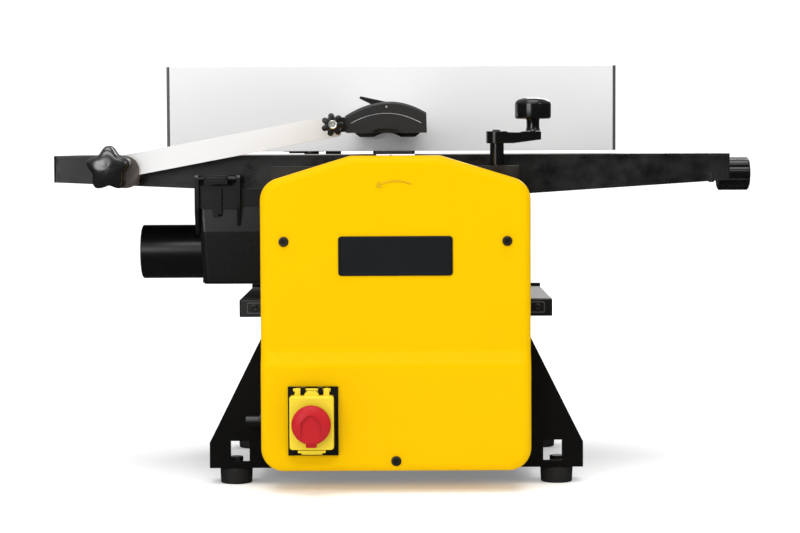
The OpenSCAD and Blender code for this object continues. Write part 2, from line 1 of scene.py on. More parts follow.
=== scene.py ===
import json
from math import atan2, cos, pi, radians, sin, sqrt, tan

import bmesh
import bpy
from mathutils import Matrix, Vector


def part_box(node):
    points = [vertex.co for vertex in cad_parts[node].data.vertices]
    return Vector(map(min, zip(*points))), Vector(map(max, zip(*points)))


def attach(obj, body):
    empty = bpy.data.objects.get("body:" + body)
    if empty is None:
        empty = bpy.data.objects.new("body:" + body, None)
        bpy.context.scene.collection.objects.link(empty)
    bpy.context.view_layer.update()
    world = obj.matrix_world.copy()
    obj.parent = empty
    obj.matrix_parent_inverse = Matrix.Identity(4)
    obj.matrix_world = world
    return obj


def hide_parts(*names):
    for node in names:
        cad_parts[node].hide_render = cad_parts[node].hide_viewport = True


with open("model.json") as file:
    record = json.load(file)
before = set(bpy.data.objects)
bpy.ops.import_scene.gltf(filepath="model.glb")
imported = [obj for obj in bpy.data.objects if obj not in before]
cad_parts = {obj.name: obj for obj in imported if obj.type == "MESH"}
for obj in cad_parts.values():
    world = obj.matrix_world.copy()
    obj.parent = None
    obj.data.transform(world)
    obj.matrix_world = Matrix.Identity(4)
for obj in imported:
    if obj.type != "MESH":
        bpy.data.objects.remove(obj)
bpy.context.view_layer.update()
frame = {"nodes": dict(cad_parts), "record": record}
cad = frame["nodes"]


def middle(node, axis):
    low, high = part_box(node)
    return (low[axis] + high[axis]) / 2


# Every piece is drawn in millimetres about the machine's middle, with the feet on Z = 0
MID = Vector((middle("cutter_block", 0), middle("thickness_table", 1), 0))
TO_FRAME = Matrix.Translation(MID) @ Matrix.Scale(0.001, 4)

# Camera -----------------------------------------------------------------------------------------

camera = bpy.data.objects.new("camera", bpy.data.cameras.new("camera"))
bpy.context.scene.collection.objects.link(camera)
camera.data.lens = 96.4
camera.data.sensor_width = 36
camera.data.clip_end = 100
camera.matrix_world = (Matrix.Translation(MID + Vector((0.0047, -2.451, 0.3667)))
    @ Matrix.Rotation(radians(90 - 3.274), 4, "X") @ Matrix.Rotation(radians(-0.24), 4, "Z"))
bpy.context.scene.camera = camera
bpy.context.scene.view_settings.view_transform = "Standard"

# Materials --------------------------------------------------------------------------------------


class Graph:
    """A material's nodes."""

    def __init__(self, name):
        self.material = bpy.data.materials.new(name)
        self.material.use_nodes = True
        self.nodes = self.material.node_tree.nodes
        self.links = self.material.node_tree.links
        self.shader = self.nodes["Principled BSDF"]
        self.place = self.nodes.new("ShaderNodeTexCoord").outputs["Object"]

    def link(self, out, into):
        self.links.new(out, into)

    def stretched(self, scale):
        node = self.nodes.new("ShaderNodeMapping")
        node.inputs["Scale"].default_value = scale
        self.link(self.place, node.inputs["Vector"])
        return node.outputs["Vector"]

    def noise(self, scale, detail=4, stretch=(1, 1, 1)):
        node = self.nodes.new("ShaderNodeTexNoise")
        node.inputs["Scale"].default_value = scale
        node.inputs["Detail"].default_value = detail
        self.link(self.stretched(stretch), node.inputs["Vector"])
        return node.outputs["Fac"]

    def ramp(self, fac, low, high, start=0.3, end=0.7):
        node = self.nodes.new("ShaderNodeMapRange")
        node.inputs["From Min"].default_value = start
        node.inputs["From Max"].default_value = end
        node.inputs["To Min"].default_value = low
        node.inputs["To Max"].default_value = high
        self.link(fac, node.inputs["Value"])
        return node.outputs["Result"]

    def blend(self, fac, one, two):
        node = self.nodes.new("ShaderNodeMix")
        node.data_type = "RGBA"
        self.link(fac, node.inputs[0])
        node.inputs[6].default_value = (*one, 1)
        node.inputs[7].default_value = (*two, 1)
        return node.outputs[2]

    def bump(self, height, distance, under=None):
        node = self.nodes.new("ShaderNodeBump")
        node.inputs["Distance"].default_value = distance
        self.link(height, node.inputs["Height"])
        if under:
            self.link(under, node.inputs["Normal"])
        return node.outputs["Normal"]


def surface(name, colour, change, rough, grain, depth, metal=0.0, specular=0.5,
            stretch=(1, 1, 1), cloud=9.0, wave=0.0, patchy=False):
    """Paint, plastic or metal: colour varies by change in soft clouds, rough is the lowest and highest
    roughness, or its share in the clouds if patchy, grain and depth are the fine relief's scale and height in
    metres, and wave is the height of a wider relief."""
    g = Graph(name)
    clouds = g.noise(cloud, 5, stretch)
    fine = g.noise(grain, 3, stretch)
    one = tuple(c * (1 - change) for c in colour)
    two = tuple(min(1, c * (1 + change)) for c in colour)
    g.link(g.blend(g.ramp(clouds, 0, 1), one, two), g.shader.inputs["Base Color"])
    g.link(g.ramp(clouds if patchy else fine, rough[0], rough[1]), g.shader.inputs["Roughness"])
    normal = g.bump(fine, depth)
    if wave:
        normal = g.bump(g.noise(grain / 12, 2), wave, under=normal)
    g.link(normal, g.shader.inputs["Normal"])
    g.shader.inputs["Metallic"].default_value = metal
    g.shader.inputs["Specular IOR Level"].default_value = specular
    return g.material


ALONG = (0.04, 1, 1)
# Colour, its change, lowest and highest roughness, grain, depth, and what differs from surface()'s defaults
LOOKS = {
    "black_casting": ((0.0055, 0.0055, 0.0056), 0.35, (0.2, 0.5), 1300, 0.00004,
        dict(specular=0.5, wave=0.00012, cloud=45, patchy=True)),
    "black_sheet": ((0.0036, 0.0034, 0.0033), 0.3, (0.36, 0.5), 1700, 0.00002, dict(specular=0.06)),
    "yellow_cover": ((0.72, 0.425, 0.0), 0.012, (0.22, 0.3), 900, 0.000006,
        dict(specular=0.03, wave=0.00001)),
    "black_plastic": ((0.0042, 0.0042, 0.0045), 0.25, (0.22, 0.34), 2600, 0.000014, dict(specular=0.4)),
    "knob_plastic": ((0.0035, 0.0035, 0.0038), 0.25, (0.12, 0.2), 2200, 0.000005, dict(specular=0.4)),
    "grip_plastic": ((0.0055, 0.0055, 0.006), 0.25, (0.26, 0.36), 2400, 0.00001, dict(specular=0.4)),
    "flap_plastic": ((0.74, 0.57, 0.03), 0.03, (0.2, 0.28), 1200, 0.000006, dict(specular=0.2)),
    "red_plastic": ((0.42, 0.011, 0.016), 0.04, (0.3, 0.4), 1500, 0.00001, dict(specular=0.15)),
    "green_plastic": ((0.02, 0.3, 0.06), 0.05, (0.3, 0.4), 1500, 0.00001, dict()),
    "name_plate": ((0.0085, 0.0095, 0.0105), 0.15, (0.3, 0.4), 1800, 0.00001, dict(specular=0.12)),
    "fence_aluminium": ((0.82, 0.82, 0.825), 0.012, (0.4, 0.52), 1400, 0.00001,
        dict(metal=0.05, specular=0.3, stretch=ALONG)),
    "arm_aluminium": ((0.67, 0.67, 0.675), 0.015, (0.3, 0.42), 1600, 0.000008,
        dict(metal=0.1, specular=0.3)),
    "table_surface": ((0.22, 0.205, 0.19), 0.08, (0.3, 0.45), 1100, 0.00001,
        dict(metal=0.35, stretch=ALONG)),
    "steel": ((0.5, 0.5, 0.51), 0.06, (0.22, 0.38), 1300, 0.00001, dict(metal=1.0, stretch=(1, 0.05, 1))),
    "zinc": ((0.62, 0.62, 0.6), 0.06, (0.3, 0.45), 900, 0.00001, dict(metal=1.0)),
    "bronze_grey": ((0.115, 0.098, 0.088), 0.1, (0.4, 0.5), 900, 0.00001, dict(metal=0.3)),
    "cast_aluminium": ((0.45, 0.45, 0.46), 0.1, (0.45, 0.62), 700, 0.00006, dict(metal=1.0)),
    "rubber": ((0.011, 0.0108, 0.0105), 0.2, (0.6, 0.8), 1400, 0.00004, dict(specular=0.3)),
    "black_screw": ((0.01, 0.009, 0.008), 0.2, (0.25, 0.35), 1400, 0.00001, dict(specular=0.6)),
    "chain_steel": ((0.2, 0.2, 0.21), 0.1, (0.3, 0.45), 1200, 0.00001, dict(metal=1.0)),
    "motor_paint": ((0.16, 0.165, 0.17), 0.08, (0.4, 0.55), 1200, 0.00003, dict(specular=0.3)),
    "star_plastic": ((0.007, 0.007, 0.0075), 0.25, (0.17, 0.23), 2400, 0.000006, dict(specular=0.9)),
    "soft_black": ((0.016, 0.016, 0.0165), 0.25, (0.28, 0.4), 900, 0.00002, dict(specular=0.35)),
    "guard_grey": ((0.13, 0.12, 0.14), 0.1, (0.3, 0.4), 900, 0.00001, dict(metal=0.3)),
    # Darker yellow for the raised arrow: painted shade standing in for the dark line its edges cast on the cover
    "painted_shade_yellow": ((0.56, 0.33, 0.0), 0.05, (0.2, 0.3), 900, 0.000006, dict(specular=0.3)),
    "edge_grey": ((0.09, 0.09, 0.092), 0.1, (0.35, 0.5), 1400, 0.00001, dict(metal=0.4)),
}
MATERIALS = {name: surface(name, *look, **changes) for name, (*look, changes) in LOOKS.items()}

# Mesh tools -------------------------------------------------------------------------------------

PLACE = {"x": lambda u, v, w: (w, u, v), "y": lambda u, v, w: (u, w, v), "z": lambda u, v, w: (u, v, w)}
FACING = {"front": Matrix.Rotation(pi / 2, 4, "X"), "right": Matrix.Rotation(pi / 2, 4, "Y"),
          "left": Matrix.Rotation(-pi / 2, 4, "Y"), "up": Matrix.Identity(4)}


def rounded(corners, steps=6):
    """Closed outline whose corners (u, v, radius) are turned into arcs."""
    out = []
    for i, (u, v, r) in enumerate(corners):
        p = Vector((u, v))
        a = (Vector(corners[i - 1][:2]) - p).normalized()
        b = (Vector(corners[(i + 1) % len(corners)][:2]) - p).normalized()
        if not r:
            out.append((u, v))
            continue
        half = a.angle(b) / 2
        centre = p + (a + b).normalized() * (r / sin(half))
        s = p + a * (r / tan(half)) - centre
        e = p + b * (r / tan(half)) - centre
        turn = atan2(s.x * e.y - s.y * e.x, s.dot(e))
        start = atan2(s.y, s.x)
        for k in range(steps + 1):
            t = start + turn * k / steps
            out.append((centre.x + r * cos(t), centre.y + r * sin(t)))
    return out


def block(u0, u1, v0, v1, r=0.0, steps=5):
    return rounded([(u0, v0, r), (u1, v0, r), (u1, v1, r), (u0, v1, r)], steps)


def hull(circles, steps=48):
    """Outline stretched round circles (u, v, radius)."""
    points = sorted((u + r * cos(2 * pi * k / steps), v + r * sin(2 * pi * k / steps))
                    for u, v, r in circles for k in range(steps))
    half = []
    for line in (points, points[::-1]):
        out = []
        for p in line:
            while len(out) > 1 and ((out[-1][0] - out[-2][0]) * (p[1] - out[-2][1])
                                    - (out[-1][1] - out[-2][1]) * (p[0] - out[-2][0])) <= 1e-9:
                out.pop()
            out.append(p)
        half += out[:-1]
    return half


def skin(bm, rings, closed=True):
    """Faces between rings of points, with flat ends."""
    made = [[bm.verts.new(p) for p in ring] for ring in rings]
    for a, b in zip(made, made[1:]):
        n = max(len(a), len(b))
        for i in range(n):
            j = (i + 1) % n
            corners = ([a[i], a[j]] if len(a) > 1 else [a[0]]) + ([b[j], b[i]] if len(b) > 1 else [b[0]])
            bm.faces.new(corners)
    for ring in (made[0], made[-1]):
        if closed and len(ring) > 2:
            bm.faces.new(ring)
    return bm


def prism(outline, low, high, axis="y"):
    place = PLACE[axis]
    return tidy(skin(bmesh.new(), [[place(u, v, w) for u, v in outline] for w in (low, high)]))


def turned(profile, centre, facing, steps=64, shape=None):
    """Profile of (radius, height) swept round an axis; shape(radius, height, angle) may change both."""
    to = Matrix.Translation(centre) @ FACING[facing]
    shape = shape or (lambda r, h, t: (r, h))
    rings = []
    for r, h in profile:
        ring = []
        for t in [2 * pi * k / steps for k in range(steps)] if r > 0 else [0]:
            rr, hh = shape(r, h, t) if r > 0 else (r, h)
            ring.append(to @ Vector((rr * cos(t), rr * sin(t), hh)))
        rings.append(ring)
    return tidy(skin(bmesh.new(), rings))


def loft(sections):
    """Skin over outlines that are (outline, height) pairs with the same number of points."""
    return tidy(skin(bmesh.new(), [[(u, v, w) for u, v in outline] for outline, w in sections]))


def tidy(bm):
    bmesh.ops.recalc_face_normals(bm, faces=bm.faces)
    return bm


def scratch(bm):
    mesh = bpy.data.meshes.new("scratch")
    bm.to_mesh(mesh)
    bm.free()
    obj = bpy.data.objects.new("scratch", mesh)
    bpy.context.scene.collection.objects.link(obj)
    return obj


def combine(bm, operation, tools):
    target = scratch(bm)
    for tool in tools:
        other = scratch(tool)
        cut = target.modifiers.new("cut", "BOOLEAN")
        cut.operation = operation
        cut.solver = "EXACT"
        cut.object = other
        depsgraph = bpy.context.evaluated_depsgraph_get()
        mesh = bpy.data.meshes.new_from_object(target.evaluated_get(depsgraph))
        target.modifiers.clear()
        target.data = mesh
        bpy.data.objects.remove(other)
    out = bmesh.new()
    out.from_mesh(target.data)
    bpy.data.objects.remove(target)
    bmesh.ops.remove_doubles(out, verts=out.verts, dist=0.001)
    bmesh.ops.dissolve_limit(out, angle_limit=0.003, verts=out.verts, edges=out.edges)
    return tidy(out)


def cut(bm, *tools):
    return combine(bm, "DIFFERENCE", tools)


def join(bm, *tools):
    return combine(bm, "UNION", tools)


def merged(*parts):
    """Separate shells in one mesh."""
    out = bmesh.new()
    for part in parts:
        mesh = bpy.data.meshes.new("part")
        part.to_mesh(mesh)
        part.free()
        out.from_mesh(mesh)
        bpy.data.meshes.remove(mesh)
    return out


def soften(bm, width, segments, chosen):
    """Rounds the edges that chosen picks."""
    edges = [e for e in bm.edges if len(e.link_faces) == 2 and chosen(e)]
    bmesh.ops.bevel(bm, geom=edges, offset=width, segments=segments, profile=0.5, affect="EDGES")
    return tidy(bm)


def corner(e):
    return e.calc_face_angle(0)


def smooth_out(obj, width, segments=2, angle=35):
    """Rounded edges and even shading over flat faces."""
    mesh = obj.data
    if "custom_normal" in mesh.attributes:
        mesh.attributes.remove(mesh.attributes["custom_normal"])
    mesh.shade_smooth()
    mesh.set_sharp_from_angle(angle=radians(angle))
    if width:
        rounding = obj.modifiers.new("rounding", "BEVEL")
        rounding.width = width / 1000
        rounding.segments = segments
        rounding.limit_method = "ANGLE"
        rounding.angle_limit = radians(angle)
        rounding.harden_normals = False
    normals = obj.modifiers.new("normals", "WEIGHTED_NORMAL")
    normals.keep_sharp = True


def add(name, bm, finish, body, *nodes, width=0.5, segments=2, angle=35, slot=None, top=None):
    """Makes a piece that rides on body, and stands for the CAD nodes named. top is the height of faces
    that are machined bare."""
    bm.transform(TO_FRAME)
    mesh = bpy.data.meshes.new(name)
    bm.to_mesh(mesh)
    bm.free()
    obj = bpy.data.objects.new(name, mesh)
    bpy.context.scene.collection.objects.link(obj)
    mesh.materials.append(MATERIALS[finish])
    if top:
        mesh.materials.append(MATERIALS["table_surface"])
        for face in mesh.polygons:
            if face.normal.z > 0.99 and abs(face.center.z * 1000 - top) < 0.3:
                face.material_index = 1
    smooth_out(obj, width, segments, angle)
    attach(obj, body)
    if nodes:
        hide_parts(*nodes)
    return obj


# Carried-over CAD nodes ---------------------------------------------------------------------------

ROUNDING = {
    "rubber_feet": 1.6, "front_side_plate": 0.5, "rear_side_plate": 0.5, "fence_plate": 0.5,
    "fence_bracket": 1.2, "fence_carriage": 1.2, "rear_cover": 2.0, "front_head": 1.2, "rear_head": 1.2,
    "cutter_knives": 0.0, "foot_bolts": 0.4,
}
FINISH = {part["node"]: part["material_slot"] for part in frame["record"]["subparts"]}
FINISH["fence_end_caps"] = "edge_grey"

for name, obj in cad.items():
    mesh = obj.data
    mesh.materials.clear()
    mesh.materials.append(MATERIALS[FINISH[name]])
    for face in mesh.polygons:
        face.material_index = 0
    weld = obj.modifiers.new("weld", "WELD")
    weld.merge_threshold = 0.00002
    flat = obj.modifiers.new("flat", "DECIMATE")
    flat.decimate_type = "DISSOLVE"
    flat.angle_limit = radians(0.5)
    smooth_out(obj, ROUNDING.get(name, 0.6))

# Front cover --------------------------------------------------------------------------------------


def cover_outline(d):
    return hull([(s * x, z, r - d) for s in (-1, 1)
                 for x, z, r in ((118, 47.5, 24), (118, 308, 24), (46, 342.5, 12))])


def below_step(bm, d):
    """Takes off what stands before the upper part's face, drawn back by d."""
    before = [(-250, 136 - d), (-222 + d, 136 - d), (-214 + d, 149.7 - d), (-214 + d, 400), (-250, 400)]
    return cut(bm, prism(before, -200, 200, "x"))


def arrow_arc():
    """Bent arrow that shows which way the cutter turns."""
    centre, r, half = (1, 288), 40, 0.75
    turns = [radians(66 + 4 * k) for k in range(13)]
    outer = [(centre[0] + (r + half) * cos(t), centre[1] + (r + half) * sin(t)) for t in turns]
    inner = [(centre[0] + (r - half) * cos(t), centre[1] + (r - half) * sin(t)) for t in turns]
    end = turns[-1]
    head = [(centre[0] + q * cos(end + w), centre[1] + q * sin(end + w))
            for q, w in ((r + 4.5, 0), (r, 0.16), (r - 4.5, 0))]
    return prism(outer + head + inner[::-1], -214.7, -213.5)


def disc(x, y, z, r, depth, steps=32):
    """Disc or pin that faces the front, its face at y."""
    return turned([(0, 0), (r, 0), (r, depth), (0, depth)], (x, y + depth, z), "front", steps)


SCREWS = ((-117, 265, -214), (117, 265, -214), (0, 35, -222))
cover = below_step(prism(cover_outline(0), -222, -154), 0)
cover = soften(cover, 4, 4, lambda e: 0.3 < corner(e) < 0.9 and abs(e.verts[0].co.x - e.verts[1].co.x) > 100)
cover = soften(cover, 9.5, 8, lambda e: corner(e) > 1.2 and max(v.co.y for v in e.verts) < -200)
inside = below_step(prism(cover_outline(3), -219, -150), 3)
window = prism(block(-109, -64.4, 45.7, 110.1, 1), -240, -200)
add("front_cover_shell", cut(cover, inside, window, *[disc(x, -240, z, 3, 40) for x, z, y in SCREWS]),
    "yellow_cover", "frame", "front_cover", width=0)
# The arrow is the cover's yellow made darker, as painted shade along its raised edges
add("rotation_arrow", arrow_arc(), "painted_shade_yellow", "frame", width=0.25, slot="yellow_cover")

# Socket-head screws with a washer on the cover and on the rear guard
REAR_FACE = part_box("rear_cover")[1][1] * 1000 - MID.y * 1000
REAR_SCREWS = [(s * 96, 226, REAR_FACE) for s in (-1, 1)]
for i, (x, z, y) in enumerate([*SCREWS, *REAR_SCREWS]):
    behind = i >= len(SCREWS)
    head = turned([(0, -9), (2.4, -9), (2.4, 0), (5.3, 0), (5.3, 0.8), (4.2, 0.9), (4.3, 3.2), (3.9, 3.8),
                   (2.6, 3.8), (2.3, 3.4), (2.3, 1.4), (0, 1.4)], (x, -y if behind else y, z), "front", 36,
                  lambda r, h, t: (r * (1 + 0.08 * cos(6 * t)) if 2.2 < r < 2.7 and h > 1 else r, h))
    if behind:
        head.transform(Matrix.Scale(-1, 4, (0, 1, 0)))
        tidy(head)
    add(f"cover_screw_{i}", head, "black_screw", "frame", *(["cover_screws"] if i == 0 else []), width=0)

# Name plate: blank, with a thin raised border
border = cut(prism(block(-58.4, 58.4, 230.6, 268.9, 2.5), -215.6, -215),
             prism(block(-57.4, 57.4, 231.6, 267.9, 1.8), -217, -212))
plate = join(prism(block(-60, 60, 229, 270.5, 3.5), -215.2, -214), border)
add("name_plate_blank", plate, "name_plate", "frame", "name_plate", width=0.2)

# Knobs --------------------------------------------------------------------------------------------


def lobed(n, reach, lobe, core, turn, t):
    """Distance to the edge of a knob with n round lobes, one of them at turn degrees."""
    near = (t - radians(turn) + pi / n) % (2 * pi / n) - pi / n
    out = reach - lobe
    inner = lobe ** 2 - (out * sin(near)) ** 2
    edge = out * cos(near) + sqrt(inner) if inner > 0 else 1
    return (edge ** 9 + core ** 9) ** (1 / 9)


def star(r, h, t):
    """Rings wider than the neck are a share of a five-lobed edge, under a smooth dome."""
    if r <= NECK:
        return r, h
    rr = (21.1 + 3.3 * cos(5 * (t - pi / 2)) + 0.1 * cos(10 * (t - pi / 2))) * (r - NECK)
    return rr, h - 5 * (rr / 24.5) ** 2 if h > 20 else h


NECK = 11.5
knob = turned([(0, 30), (4.1, 30), (4.1, 0), (NECK, 0), (NECK, 13), (NECK + 0.9, 13.2), (NECK + 0.97, 13.7),
               (NECK + 1, 15), (NECK + 1, 35.5), (NECK + 0.985, 37.4), (NECK + 0.955, 38.8), (NECK + 0.91, 39.8),
               (NECK + 0.85, 40.4), (NECK + 0.75, 40.7), (NECK + 0.6, 40.8), (NECK + 0.45, 40.7),
               (NECK + 0.3, 40.6), (NECK + 0.15, 40.5), (0, 40.5)],
              (-306, -132.5, 341.5), "front", 120, star)
add("star_grip", knob, "star_plastic", "arm_knob", "star_knob", width=0, slot="knob_plastic", angle=60)

fluted = turned([(0, 0), (17.6, 0), (18.9, 1.4), (18.9, 33.2), (17.4, 35), (13.6, 35.7), (12.8, 34.9), (0, 34.9)],
                (368, 0, 331.5), "right", 144,
                lambda r, h, t: (r - (2.8 * (1 - abs(cos(4 * t + 0.35)) ** 0.35) if r > 13.7 else 0), h))
add("end_grip", fluted, "knob_plastic", "depth_screw", "end_knob", width=0.4)

crank_grip = turned([(0, 410), (3.05, 410), (3.05, 380.2), (8, 380.2), (7.6, 381.6), (7, 384), (7, 391.4),
                     (7.6, 393), (17.2, 393.2), (18.9, 393.9), (19.5, 395.4), (19.6, 409), (18.7, 411.6),
                     (16.2, 413.8), (11.5, 415.3), (5, 415.9), (0, 416)],
                    (149, -130, 0), "up", 72)
add("crank_grip_knob", crank_grip, "knob_plastic", "crank_grip", "crank_knob", width=0)

arm = combine(prism(hull([(109.5, -130, 11), (150.4, -130, 7.6)]), 360, 390, "z"), "INTERSECT",
              [prism([(90, 367), (127, 367), (160, 371.2), (160, 379.8), (138, 379.8), (134, 378.6), (121, 379),
                      (120.6, 380), (90, 380)], -160, -100)])
arm = merged(cut(arm, turned([(0, 0), (6, 0), (6, 12), (0, 12)], (110, -130, 360), "up", 40)),
             turned([(0, 378), (2.9, 378), (2.9, 409.5), (0, 409.5)], (149, -130, 0), "up", 24),
             turned([(0, 379.9), (4.4, 379.9), (4.4, 381.2), (3.6, 381.8), (0, 381.8)], (109.5, -130, 0), "up", 6))
add("crank_lever", arm, "knob_plastic", "screw_front_right", "crank_arm", width=1.0, segments=3)

# Switch -------------------------------------------------------------------------------------------

SW = -87.7  # the switch's middle, along the machine
mushroom = turned([(0, -8), (6.9, -8), (6.9, 8), (12, 8.4), (19.4, 9), (20.4, 9.8), (20.5, 12.6), (19.8, 15),
                   (17.6, 17), (12.5, 18.4), (6, 19), (0, 19.1)], (SW, -241, 77.3), "front", 72)
arch = rounded([(SW - 10.6, 57, 0), (SW + 10.6, 57, 0), (SW + 10.6, 80, 5), (SW + 3.4, 88, 5),
                (SW - 3.4, 88, 5), (SW - 10.6, 80, 5)])
mushroom = cut(mushroom, prism(arch, -270, -257.2))
neck = prism(block(SW - 5.6, SW + 5.6, 53.5, 62, 1), -252.5, -249.2)
add("mushroom_grip", merged(mushroom, neck), "red_plastic", "mushroom", "stop_mushroom", width=0.5)

flap = prism(block(SW - 23, SW + 23, 50, 106, 3), -244, -230)
flap = soften(flap, 2.2, 4, lambda e: max(v.co.y for v in e.verts) < -243 and corner(e) > 0.8)
flap = cut(flap, prism(block(SW - 20.8, SW + 20.8, 52.2, 103.8, 2), -241.8, -228),
           prism([(SW + 7.15 * cos(k * pi / 24), 77.3 + 7.15 * sin(k * pi / 24)) for k in range(48)], -260, -225))
lugs = [prism(rounded([(SW + s * 15 - 3.4, 104, 0), (SW + s * 15 + 3.4, 104, 0), (SW + s * 15 + 3, 113.2, 1.5),
                       (SW + s * 15 - 2, 113.2, 1.5)]), -235, -227.2) for s in (-1, 1)]
tab = prism(rounded([(SW - 7.5, 104, 0), (SW + 7.5, 104, 0), (SW + 7.5, 108, 2), (SW + 4.5, 110.6, 2),
                     (SW - 4.5, 110.6, 2), (SW - 7.5, 108, 2)]), -240, -234)
pin = turned([(0, -19.5), (1.75, -19.5), (1.75, 19.5), (0, 19.5)], (SW, -228.5, 111), "right", 20)
catch = [prism(block(SW - 11, SW + 11, 44.4, 51, 1), -238, -231),
         prism(block(SW - 14.5, SW + 14.5, 46.6, 49.4, 1), -242, -237)]
add("flap_cover", merged(flap, *lugs, tab, pin, *catch), "flap_plastic", "flap", "switch_flap", width=0.4)

# Table castings -----------------------------------------------------------------------------------


def table_casting(reach, low, slot, more=(), less=()):
    """Surface table with rounded far corners, its side faces sunk inside a rim."""
    side = [(23, 347), (36, slot), (112, slot), (112, low), (reach - 3, 326), (reach, 329), (reach, 353),
            (23, 353)]
    sunk = [(60, slot + 3.2), (115, slot + 3.2), (115, low + 2.6), (reach - 7, 329), (reach - 4.2, 331),
            (reach - 4.2, 351.4), (60, 351.4)]
    parts = [prism(side, s * 102.5 - 2.5, s * 102.5 + 2.5) for s in (-1, 1)]
    parts += [prism(block(x, x + 4, -104.9, 104.9), 328, 352, "z") for x in (205, 260, 315) if x < reach - 40]
    parts.append(prism(block(reach - 5, reach, -105, 105), 326, 352, "z"))
    plate = prism(block(23, reach, -105, 105), 347, 355, "z")
    table = join(plate, *parts, *more)
    table = soften(table, 4.5, 5, lambda e: abs(e.verts[0].co.z - e.verts[1].co.z) > 2 and corner(e) > 1
                   and min(v.co.x for v in e.verts) > reach - 3.5 and min(abs(v.co.y) for v in e.verts) > 104)
    return cut(table, *[prism(sunk, s * 105 - 0.8, s * 105 + 0.8) for s in (-1, 1)], *less)


def slider(x):
    """Cross bar that runs on the heads."""
    return prism(block(x - 5, x + 5, -100, 100), 335, 354, "z")


def rod_round(r, x0, x1):
    """Barrel round the depth rod, or the bore in it."""
    return turned([(0, 0), (r, 0), (r, x1 - x0), (0, x1 - x0)], (x0, 0, 331.5), "right", 48)


nub = turned([(0, 323.6), (2.6, 323.6), (3.2, 324.6), (3.2, 334), (0, 334)], (346, -103, 0), "up", 24)
last_rib = prism(block(330, 334, -104.9, 104.9), 328, 352, "z")
infeed = table_casting(366.5, 310, 339, [slider(99), rod_round(7, 330, 362), nub, last_rib],
                       [rod_round(4.05, 100, 380)])
add("infeed_casting", infeed, "black_casting", "infeed", "infeed_table", width=0.5, top=355)
outfeed = table_casting(374, 314, 338, [slider(99)])
outfeed.transform(Matrix.Scale(-1, 4, (1, 0, 0)))
add("outfeed_casting", tidy(outfeed), "black_casting", "frame", "outfeed_table", width=0.5, top=355)

slab = prism(block(-172, 172, -105, 105, 3), 177.5, 197, "z")
slab = soften(slab, 2, 3, lambda e: corner(e) > 1.2 and min(v.co.z for v in e.verts) > 190)
bosses = [prism(hull([(s * 110, t * 130, 14), (s * 110, t * 90, 14)]), 177.5, 196.8, "z")
          for s in (-1, 1) for t in (-1, 1)]
lip = prism(block(-172, 172, 101, 105, 1), 190, 200.5, "z")
pockets = [prism(block(i * 113 - 53, i * 113 + 53, j * 51.5 - 46, j * 51.5 + 46, 4), 170, 190, "z")
           for i in (-1, 0, 1) for j in (-1, 1)]
bores = [turned([(0, 0), (6.05, 0), (6.05, 60), (0, 60)], (s * 110, t * 130, 160), "up", 40)
         for s in (-1, 1) for t in (-1, 1)]
webs = [prism(block(s * 110 - 14, s * 110 + 14, -105, 105), 177.5, 189.5, "z") for s in (-1, 1)]
slab = cut(slab, *pockets)
add("thickness_casting", cut(join(slab, *bosses, lip, *webs), *bores), "black_casting", "bed", "thickness_table",
    width=0.4, top=197)

# Gib plates with an adjusting screw on the thickness table's front edge
for side, s in (("left", -1), ("right", 1)):
    rim = cut(prism(block(-12.6, 12.6, 181, 193.5, 2.2), -106, -104.8),
              prism(block(-11.4, 11.4, 182.2, 192.3, 1.6), -107, -104))
    rim.transform(Matrix.Translation((s * 151, 0, 0)))
    add("gib_rim_" + side, rim, "edge_grey", "bed", width=0.2, slot="zinc")
    screw = turned([(0, 0), (3.6, 0), (3.6, 1), (2.6, 1.5), (2.2, 1.4), (2, 0.6), (0, 0.6)],
                   (s * 155.5, -105, 187.6), "front", 30)
    add("gib_screw_" + side, screw, "black_screw", "bed", width=0)

# Guard --------------------------------------------------------------------------------------------


def holder_line():
    """Outline of the guard's holder, under an arch that falls faster to the right."""
    left = [(x, 412.3 - 0.00656 * (x + 5.3) ** 2) for x in [-53.7 + k * 48.4 / 12 for k in range(12)]]
    right = [(x, 412.3 - 0.00786 * (x + 5.3) ** 2) for x in [-5.3 + k * 38.9 / 12 for k in range(13)]]
    return [(-52.9, 378.9), (34.2, 378.9)] + right[::-1] + left[::-1]


def arc_band(top, thick, half, drop, low, high):
    """Arched sheet whose edges are half a width from its middle and lie drop lower."""
    outer = [(-9.5 + i * half / 16, top - drop * (i / 16) ** 2) for i in range(-16, 17)]
    inner = [(-9.5 + i * (half - thick * 0.8) / 16, top - thick - drop * (i / 16) ** 2) for i in range(-16, 17)]
    return prism(outer + inner[::-1], low, high)


holder = prism(holder_line(), -146, -94)
holder = soften(holder, 3, 4, lambda e: corner(e) > 1.3 and abs(e.verts[0].co.y - e.verts[1].co.y) < 1
                and min(v.co.z for v in e.verts) > 379.5)
bridge = [(-9.5 + i * 14 / 10, 383.3 - 2.6 * (i / 10) ** 4) for i in range(-10, 11)]
holder = cut(holder, arc_band(400.2, 1.0, 38.2, 10.5, -147, -90), prism(block(-27, 14, 403.4, 420, 1), -132, -112),
             prism([(-23.5, 370), (4.5, 370)] + bridge[::-1], -150, -138), disc(-9.2, -150, 406.6, 3.1, 5))
ear = prism(rounded([(-72, 380, 5), (-50, 380, 0), (-50, 396, 0), (-72, 396, 5)]), -112, -96)
ear = cut(ear, disc(-66.5, -130, 387.5, 3, 60))
add("guard_holder_body", merged(holder, ear), "soft_black", "holder", "guard_holder", width=0.4,
    slot="black_plastic")

